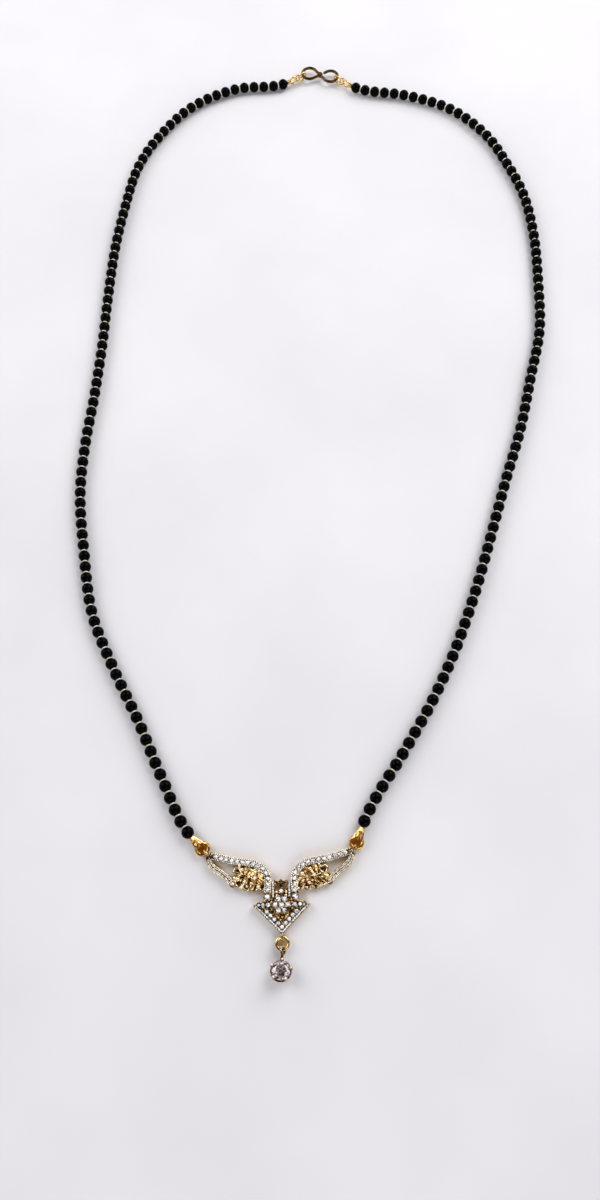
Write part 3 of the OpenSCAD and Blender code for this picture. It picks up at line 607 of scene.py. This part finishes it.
def cut_stones(name, replaced, material=WHITE_STONE, turned=0.4):
    """Brilliants in place of the stones of some nodes; a node's stone is 0.16 of its diameter
    high above the girdle and 0.42 deep."""
    low, high = (np.concatenate(part) for part in zip(*(solids_of(n) for n in replaced)))
    size = (high - low)[:, 2] / 0.58
    middles = (low + high) / 2
    middles[:, 2] = high[:, 2] - 0.16 * size
    shape = brilliant()
    made = piece(name, repeat(shape, middles, size, turned * np.arange(len(size))), material,
                 rounded=False)
    set_tones(made, len(shape[2]))
    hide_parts(*replaced)
    return middles, size


petals = [n for n in sorted(nodes) if n.startswith("petal_stone_")]
rail_stones = {side: cut_stones(f"wing_brilliants_{side}", [f"wing_stones_{side}"])
               for side in ("left", "right")}
cut_stones("kite_brilliants", ["kite_stones"])
flower_stones = cut_stones("flower_brilliants", ["flower_stone"] + petals)
shoulder_stones = cut_stones("shoulder_brilliants", ["shoulder_stone_left",
                                                     "shoulder_stone_right"])


PRONGS_WITHIN, PRONG_TIP_R = 3.2, 0.31


def drop_brilliant():
    """The drop's stone, on the axis along which the CAD stone spreads least, its table up, and a
    bright tip over each prong, where the setting stands highest along that axis."""
    points = np.unique(np.round(node_points("drop_stone"), 4), axis=0)
    middle = points.mean(0)
    axis = np.linalg.svd(points - middle)[2][2]
    axis *= np.sign(axis[2])
    height = (points - middle) @ axis
    size = (height.max() - height.min()) / 0.585
    middle = middle + (height.max() - 0.155 * size) * axis
    side = np.cross([0, 1, 0], axis)
    side /= np.linalg.norm(side)
    frame_of_stone = np.stack([side, np.cross(axis, side), axis])
    shape = brilliant()
    made = piece("drop_brilliant", (shape[0] * size @ frame_of_stone + middle, *shape[1:]),
                 DROP_STONE, rounded=False)
    set_tones(made, len(shape[2]), table_least=0.0)
    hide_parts("drop_stone")
    setting = node_points("drop_setting") - middle
    near = np.linalg.norm(setting - (setting @ axis)[:, None] * axis, axis=1) < PRONGS_WITHIN
    setting = setting[near]
    tops = setting[setting @ axis > (setting @ axis).max() - 0.2]
    angle = np.arctan2(tops @ frame_of_stone[1], tops @ frame_of_stone[0])
    order = np.argsort(angle)
    prongs = np.split(tops[order], np.flatnonzero(np.diff(angle[order]) > 0.4) + 1)
    tips = np.array([(prong.min(0) + prong.max(0)) / 2 for prong in prongs]) + middle
    piece("prong_tips", repeat(ball(sides=12, levels=7), tips, PRONG_TIP_R), BERRY_PLATE)


drop_brilliant()


def share(rows):
    """Places on the pendant from shares of its wing's reach and rise."""
    return np.array(rows) * [WING_REACH, WING_RISE]


# The pendant's lines: its rails and its vine, from the middle outwards or from the tip inwards
upper_line = smooth_line(share([
    [0.185, 0.14], [0.182, 0.3], [0.175, 0.42], [0.185, 0.54], [0.23, 0.65], [0.31, 0.735],
    [0.415, 0.785], [0.52, 0.805], [0.625, 0.825], [0.73, 0.86], [0.83, 0.9], [0.925, 0.94]]))
lower_line = smooth_line(share([
    [0.965, 0.9], [0.94, 0.78], [0.88, 0.69], [0.795, 0.605], [0.715, 0.51], [0.65, 0.4]]))
vine_line = smooth_line(share([
    [0.575, 0.6], [0.5, 0.555], [0.42, 0.53], [0.34, 0.51], [0.26, 0.465], [0.19, 0.4]]))

grain = ball(lowest=-25, levels=4)

# Beading along both edges of the upper rails, coarser outside than inside
outer_row, _ = spaced(beside(upper_line, RAIL_W / 2 - 0.12), 0.52, 1.2, 0.3)
inner_row, _ = spaced(beside(upper_line, 0.1 - RAIL_W / 2), 0.45, 1.4, 0.3)
piece("rail_beading", on_pendant(both_sides(join(
    repeat(grain, raised(outer_row, RAIL_T), luck.uniform(0.2, 0.29, len(outer_row))),
    repeat(grain, raised(inner_row, RAIL_T), luck.uniform(0.14, 0.22, len(inner_row)))))),
    WHITE_PLATE)


def grains_between(middles, reach=0.36, radius=0.19, longest_gap=1.9):
    """Two setting grains in each gap of a row of stones, left and right of the row."""
    order = np.argsort(middles[:, 0])
    row = middles[order]
    near = np.linalg.norm(np.diff(row, axis=0), axis=1) < longest_gap
    v = np.diff(row, axis=0)[near][:, :2]
    v /= np.linalg.norm(v, axis=1, keepdims=True)
    mid = ((row[1:] + row[:-1]) / 2)[near]
    side = np.concatenate([np.stack([-v[:, 1], v[:, 0], 0 * v[:, 0]], -1)] * 2)
    side[len(v):] *= -1
    return repeat(grain, np.concatenate([mid, mid]) + reach * side, radius)


def grains_round(middles, sizes, radius=0.17, clear=0.14, lift=0.03):
    """Four setting grains on the rim round each stone."""
    ring = circle(1.0, 0.0, np.radians([45, 135, 225, 315]))
    at = middles[:, None] + ring * (sizes / 2 + clear)[:, None, None]
    return repeat(grain, at.reshape(-1, 3) + [0, 0, lift], radius)


piece("rail_grains", join(*(grains_between(rail_stones[s][0]) for s in ("left", "right"))),
      WHITE_PLATE)
piece("flower_grains", join(grains_round(*flower_stones), grains_round(*shoulder_stones)),
      PALE_GILT)

# Small stones in two staggered rows on the lower rails
pave = pave_stone()


def pave_rows(line, offsets, pitch, z, start, stop):
    """Rows of small stones beside a line, every second row shifted by half a pitch, and a grain
    between each two."""
    stones, grains = [], []
    for i, offset in enumerate(offsets):
        at, _ = spaced(beside(line, offset), pitch, start + (i % 2) * pitch / 2, stop)
        stones.append(raised(at, z + 0.03))
        between = (at[1:] + at[:-1]) / 2
        grains.append(raised(between, z + 0.02))
    return np.concatenate(stones), np.concatenate(grains)


def set_pave(name, middles, grains, size, grain_size=0.13):
    """Tiny stones and their grains on both sides of the pendant."""
    middles = np.concatenate([middles, middles * [-1, 1, 1]])
    grains = np.concatenate([grains, grains * [-1, 1, 1]])
    made = piece(name + "_stones", on_pendant(repeat(pave, middles, size)), WHITE_STONE,
                 rounded=False)
    set_tones(made, len(pave[2]), tables=(16,))
    piece(name + "_grains", on_pendant(repeat(grain, grains, grain_size)), WHITE_PLATE)


piece("lower_rail_rims", on_pendant(both_sides(join(*(
    wire(raised(beside(lower_line, way * (LOW_RAIL_W / 2 - 0.08))[2:-2], LOW_RAIL_T), 0.12, 0.14,
         sides=8)
    for way in (-1, 1))))), PALE_GILT)
set_pave("lower_rail", *pave_rows(lower_line, (-0.26, 0.26), 0.66, LOW_RAIL_T, 0.1, 0.1), 0.46)
border_line = np.linspace([0.0, -KITE_DROP], [KITE_W / 2, 0.0], 40)
set_pave("kite_border", *pave_rows(border_line, (0.36,), 0.58, BORDER_T, 0.75, 0.8), 0.5)
shoulder_line = np.linspace([KITE_W / 2 - 0.4, 0.12], [4.2, 1.26], 20)
set_pave("kite_shoulder", *pave_rows(shoulder_line, (0.12,), 0.56, PLATE_T, 0.1, 0.0), 0.5)
neck_x = (NECK_W - NECK_BAR_W) / 2
neck_line = np.linspace([neck_x, 1.9], [neck_x, NECK_RISE - 0.2], 30)
set_pave("neck_column", *pave_rows(neck_line, (0.0,), 0.6, RAIL_T, 0.1, 0.1), 0.52)


# Foliage

def leaf_shape(foot, length, width, deg, steps=31):
    """Leaf: its outline is the overlap of two circles, its back a dome over the width with a
    raised middle vein and slanting side veins, its underside flat."""
    u = np.linspace(0.0, 1.0, steps)
    bow = (length ** 2 + width ** 2) / (4 * width)
    half = np.sqrt(np.maximum(bow ** 2 - ((u - 0.5) * length) ** 2, 0)) - (bow - width / 2) + 0.05
    half = np.maximum(half, np.where(u < 0.5, 0.22, 0.06))
    v = np.array([-1, -0.9, -0.75, -0.58, -0.4, -0.24, -0.12, 0, 0.12, 0.24, 0.4, 0.58, 0.75, 0.9,
                  1])
    dome = 0.42 * (1 - np.abs(v) ** 1.8) + 0.13 * np.exp(-(v / 0.2) ** 2)
    veins = 0.03 * np.sin(2 * np.pi * (4 * u[:, None] - 1.6 * np.abs(v))) * (np.abs(v) < 0.95)
    z = VINE_T + 0.03 + dome * np.sqrt(half / half.max())[:, None] + veins
    top = np.stack([np.broadcast_to(u[:, None] * length, z.shape), half[:, None] * v, z], -1)
    foot_row = [np.stack([u * length, s * half * 0.9, np.full(steps, 0.5)], -1)[:, None]
                for s in (1, -1)]
    rings = np.concatenate([top] + foot_row, axis=1)
    return repeat(skin(rings), raised([foot], 0), 1.0, math.radians(deg))


# Leaves: [across, up] of the foot as shares of the wing, length and width as shares of its reach,
# and the way the leaf points, in degrees
leaves = [
    [0.5, 0.57, 0.17, 0.085, 118], [0.46, 0.54, 0.185, 0.09, 152],
    [0.37, 0.52, 0.165, 0.085, 112], [0.33, 0.5, 0.165, 0.085, 148],
    [0.54, 0.57, 0.15, 0.075, -38], [0.48, 0.55, 0.13, 0.07, 262],
    [0.39, 0.52, 0.125, 0.07, 250], [0.3, 0.49, 0.125, 0.07, 258]]
# Scrolls: [across, up] as shares of the wing, and the way the mouth faces, in degrees
scrolls = [[0.5625, 0.415, 150], [0.4625, 0.35, 120], [0.3575, 0.335, 100], [0.2575, 0.345, 80]]
SCROLL_R = (0.12 * WING_REACH - 0.5) / 2
vine_ring = share([[0.575, 0.63]])[0]
VINE_RING_R = 0.9


def scroll_shape(x, y, mouth):
    """Wire bent to an open circle about the scroll's middle, thin where it starts, with a ball
    where it ends."""
    a = np.radians(np.linspace(mouth + 35, mouth + 325, 26))
    at = share([[x, y]])[0]
    path = raised(at + SCROLL_R * np.stack([np.cos(a), np.sin(a)], -1), VINE_T - 0.05)
    thick = 0.3 - 0.1 * (1 - np.linspace(0, 1, 26)) ** 3
    end = ball(sides=10, levels=6)
    return join(wire(path, thick, 0.38), repeat(end, [path[-1] + [0, 0, 0.12]], 0.45))


foliage = [leaf_shape(share([row[:2]])[0], row[2] * WING_REACH, row[3] * WING_REACH, row[4])
           for row in leaves]
curls = [scroll_shape(*row) for row in scrolls]
thin_out = 0.42 - 0.14 * np.linspace(0, 1, len(vine_line)) ** 2
stem = wire(raised(vine_line, VINE_T), thin_out, 0.3)
rim = wire(circle(VINE_RING_R, LOW_RAIL_T, round_angles(28)) + [*vine_ring, 0], 0.29, 0.2,
           closed=True)
piece("wing_foliage", on_pendant(both_sides(join(*foliage))), LEAF_GILT)

# Berries among the leaves of each wing: [across, up, radius], from the pendant's middle
berries = {
    1: [[7.2, 8.2, 0.55], [8.2, 6.7, 0.51], [5.3, 7.1, 0.51], [3.9, 4.9, 0.51], [6.9, 4.9, 0.44],
        [6.3, 3.8, 0.34], [7.7, 5.4, 0.29], [5.4, 5.4, 0.32], [9.9, 4.3, 0.34], [11.9, 5.4, 0.32],
        [6.4, 6.4, 0.32], [9.5, 9.2, 0.37], [8.8, 7.9, 0.37], [4.7, 6.0, 0.41]],
    -1: [[10.2, 9.5, 0.41], [5.6, 4.2, 0.51], [9.5, 8.5, 0.46], [7.9, 6.8, 0.37],
         [10.6, 6.2, 0.51], [9.0, 5.6, 0.44], [9.8, 4.3, 0.41], [8.4, 4.5, 0.34],
         [6.5, 6.3, 0.41], [6.3, 7.8, 0.41], [11.5, 6.6, 0.37], [11.8, 5.2, 0.41],
         [5.4, 8.0, 0.34], [7.4, 5.2, 0.32]]}
berry = ball(lowest=-40, sides=12, levels=7)
piece("wing_berries", on_pendant(join(*(
    repeat(berry, raised(np.array(rows)[:, :2] * [way, 1], VINE_T + 0.5), np.array(rows)[:, 2])
    for way, rows in berries.items()))), BERRY_PLATE)

# Tendrils over the leaves: half their width, then the points they pass, as for the berries
tendrils = {
    1: [[0.2, [6.6, 3.4], [7.2, 3.5], [7.9, 4.2]], [0.2, [8.4, 4.6], [9.3, 4.1], [10.0, 4.3]],
        [0.18, [9.3, 6.3], [10.2, 5.5], [11.0, 4.9], [11.8, 4.8], [12.0, 5.4]],
        [0.2, [4.0, 5.5], [4.6, 5.9], [5.2, 6.1]], [0.17, [6.4, 6.4], [6.9, 7.0], [7.3, 6.4]],
        [0.22, [8.5, 8.4], [8.8, 8.0], [9.0, 7.4]], [0.18, [9.4, 9.5], [9.5, 8.9], [9.5, 8.3]]],
    -1: [[0.26, [6.6, 8.0], [7.5, 8.5], [8.5, 8.6]], [0.2, [10.4, 8.9], [10.0, 8.2], [9.5, 7.4]],
         [0.2, [6.7, 4.6], [6.9, 3.9], [7.8, 3.5]], [0.22, [9.3, 4.2], [9.8, 4.4], [10.3, 4.2]],
         [0.18, [10.3, 6.0], [10.7, 6.4], [11.2, 6.0]], [0.22, [6.9, 6.2], [7.3, 6.5], [7.8, 6.9]],
         [0.3, [10.3, 7.6], [11.0, 7.8], [11.8, 7.7]]]}
piece("wing_tendrils", on_pendant(join(*(
    wire(raised(smooth_line(np.array(points) * [way, 1], 6), VINE_T + 0.5), half, 0.3, sides=8)
    for way, rows in tendrils.items() for half, *points in rows))), PALE_GILT)

piece("wing_scrolls", on_pendant(both_sides(join(stem, rim, *curls))), PALE_GILT)
field_leaf = leaf_shape([0.13 * KITE_W, -1.19], 0.22 * KITE_W, 0.07 * KITE_W, -112)
piece("kite_foliage", on_pendant(both_sides(field_leaf)), PALE_GILT)

# Berries on the kite's plate and field: [across, up, radius, height]
kite_berries = np.array([
    [1.1, 2.15, 0.42, 1.2], [1.2, 3.0, 0.42, 1.2], [-1.1, 2.15, 0.4, 1.2], [-1.2, 3.0, 0.42, 1.2],
    [2.45, 1.25, 0.36, 1.1], [-2.4, 1.3, 0.32, 1.1], [2.5, 0.62, 0.3, 1.15],
    [-2.5, 0.65, 0.32, 1.15], [4.0, 0.85, 0.26, 1.05], [-4.0, 0.9, 0.28, 1.05], [2.6, -0.85, 0.34, 1.15],
    [-2.5, -0.85, 0.36, 1.15], [0.1, -2.9, 0.34, 0.7], [-1.1, -2.2, 0.42, 0.9],
    [-0.4, -3.5, 0.28, 0.7], [1.0, -2.4, 0.26, 0.7]])
piece("kite_berries", on_pendant(repeat(berry, kite_berries[:, [0, 1, 3]], kite_berries[:, 2])),
      BERRY_PLATE)


# The hook: round wire in a figure eight, bound by three turns round its waist
LOBE_R, LOBE_REACH, HOOK_R = 2.4, 3.6, 0.45
HOOK_STUB, HOOK_OPENING = 1.0, 0.3
BINDING_R, BINDING_PITCH = 0.72, 0.34


def hook_shape():
    """Each lobe is an arc between two straight sides that meet at the waist; the right lobe's
    far side starts past a stub and an opening. The binding is three rings of finer wire."""
    spread = math.asin(LOBE_R / LOBE_REACH)
    side = LOBE_REACH * math.cos(spread)
    a = np.linspace(-np.pi / 2 - spread, np.pi / 2 + spread, 33)
    arc = np.stack([LOBE_REACH + LOBE_R * np.cos(a), LOBE_R * np.sin(a)], -1)
    out = np.linspace(0, 1, 10, endpoint=False)[:, None] * arc[0]
    whole = np.concatenate([out, arc, out[::-1] * [1, -1]])
    free = np.linspace(1, (HOOK_STUB + HOOK_OPENING + HOOK_R) / side, 8)[1:, None] * arc[-1]
    opened = np.concatenate([out, arc, free])
    stub = np.linspace(0, (HOOK_STUB - HOOK_R) / side, 5)[:, None] * arc[-1]
    binding = wire(upright_ring(BINDING_R, 24), 0.22, 0.19, normal=(1, 0, 0), closed=True)
    tips = repeat(ball(sides=16, levels=9), raised([free[-1], stub[-1]], 0.0), HOOK_R)
    return join(wire(raised(whole * [-1, 1], 0.0), HOOK_R, sides=16),
                wire(raised(opened, 0.0), HOOK_R, sides=16),
                wire(raised(stub, 0.0), HOOK_R, sides=16), tips,
                repeat(binding, [[i * BINDING_PITCH, 0, 0] for i in (-1, 0, 1)]))


hook_points = node_points("clasp_hook")
hook_axis = np.linalg.svd(hook_points - hook_points.mean(0), full_matrices=False)[2][0]
hook_axis *= np.sign(hook_axis[0])
hook = piece("hook_wire", repeat(hook_shape(), [middle_of("clasp_hook")], 1.0,
                                 math.atan2(hook_axis[1], hook_axis[0])), DARK_GILT)
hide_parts("clasp_hook")


# The surface, the light and the view

def matt_surface():
    """Smooth pale paper: no shine, a tint that drifts slightly, a fibre grain of 0.5 mm, and the
    gold light that each ring of the pendant throws on the paper inside it."""
    material, tree, shader, place = finish("matt_pale_paper")
    cloud = node(tree, "TexNoise", inputs={"Vector": place, "Scale": 1 / (60 * MM), "Detail": 3.0})
    tint = node(tree, "ValToRGB", inputs={"Fac": cloud.outputs["Fac"]},
                stops=[(0.3, "#DDDBDF"), (0.7, "#E6E4E7")]).outputs["Color"]
    for ring, glow, most in (("tip_ring_left", "#A8641A", 1.0), ("tip_ring_right", "#A8641A", 1.0),
                             ("drop_ring", "#BE9440", 0.85)):
        middle = middle_of(ring)
        away = node(tree, "VectorMath", {"operation": "DISTANCE"},
                    {0: place, 1: (middle[0] * MM, middle[1] * MM, 0.0)})
        inside = node(tree, "MapRange", inputs={"Value": away.outputs["Value"],
                                                "From Min": 1.0 * MM, "From Max": 1.9 * MM,
                                                "To Min": most, "To Max": 0.0})
        tint = node(tree, "Mix", {"data_type": "RGBA"},
                    {"Factor": inside.outputs["Result"], 6: tint, 7: colour(glow)}).outputs[2]
    fibre = node(tree, "TexNoise", inputs={"Vector": place, "Scale": 1 / (0.5 * MM)})
    bump = node(tree, "Bump", inputs={"Height": fibre.outputs["Fac"], "Strength": 0.1,
                                      "Distance": 0.02 * MM})
    tree.links.new(bump.outputs["Normal"], shader.inputs["Normal"])
    tree.links.new(tint, shader.inputs["Base Color"])
    shader.inputs["Roughness"].default_value = 0.9
    shader.inputs["Specular IOR Level"].default_value = 0.1
    return material


floor_mesh = bpy.data.meshes.new("pale_surface")
floor_mesh.from_pydata([(-1.5, -1.5, -2e-5), (1.5, -1.5, -2e-5), (1.5, 1.5, -2e-5),
                        (-1.5, 1.5, -2e-5)], [], [(0, 1, 2, 3)])
floor = bpy.data.objects.new("pale_surface", floor_mesh)
floor_mesh.materials.append(matt_surface())
bpy.context.scene.collection.objects.link(floor)

world = bpy.data.worlds.new("studio")
bpy.context.scene.world = world
world.use_nodes = True
sky = world.node_tree
sky.nodes["Background"].inputs["Color"].default_value = colour("#F0F0F4")
height = node(sky, "SeparateXYZ", inputs={"Vector": node(sky, "TexCoord").outputs["Generated"]})
bright = node(sky, "MapRange", {"interpolation_type": "SMOOTHSTEP"}, {
    "Value": height.outputs["Z"], "From Min": 0.05, "From Max": 0.7, "To Min": 0.75, "To Max": 0.1})
sky.links.new(bright.outputs["Result"], sky.nodes["Background"].inputs["Strength"])
bpy.context.scene.view_settings.view_transform = "Standard"


def soft_light(name, place, power, size=0.65):
    """A square soft white light, in metres and watts, that faces the middle of the necklace."""
    lamp = bpy.data.lights.new(name, "AREA")
    lamp.size, lamp.energy = size, power
    made = bpy.data.objects.new(name, lamp)
    made.location = place
    made.rotation_euler = (-Vector(place)).to_track_quat("-Z", "Y").to_euler()
    bpy.context.scene.collection.objects.link(made)


soft_light("window", (0.45, 0.45, 0.55), 6.3)
soft_light("side_window", (-0.6, 0.3, 0.55), 4.4)
soft_light("near_fill", (0.25, -0.75, 0.55), 3.35)

# The photograph's view: from above the pendant, 70.3 degrees down, rolled by 5.1 degrees
CAMERA_FROM_PENDANT = np.array([11.05, -8.80, 243.79])
down, roll = math.radians(70.30), math.radians(-5.10)
ahead = Vector((0, math.cos(down), -math.sin(down)))
up = Vector((0, math.sin(down), math.cos(down)))
across = Vector((1, 0, 0))
right = math.cos(roll) * across + math.sin(roll) * up
up = -math.sin(roll) * across + math.cos(roll) * up
lens = bpy.data.cameras.new("photo_view")
lens.sensor_width, lens.lens = 36.0, 28.5
lens.clip_start, lens.clip_end = 0.01, 20.0
camera = bpy.data.objects.new("photo_view", lens)
bpy.context.scene.collection.objects.link(camera)
camera.matrix_world = (Matrix.Translation((pendant_middle + CAMERA_FROM_PENDANT) * MM)
                       @ Matrix((right, up, -ahead)).transposed().to_4x4())
bpy.context.scene.camera = camera

bpy.context.view_layer.update()
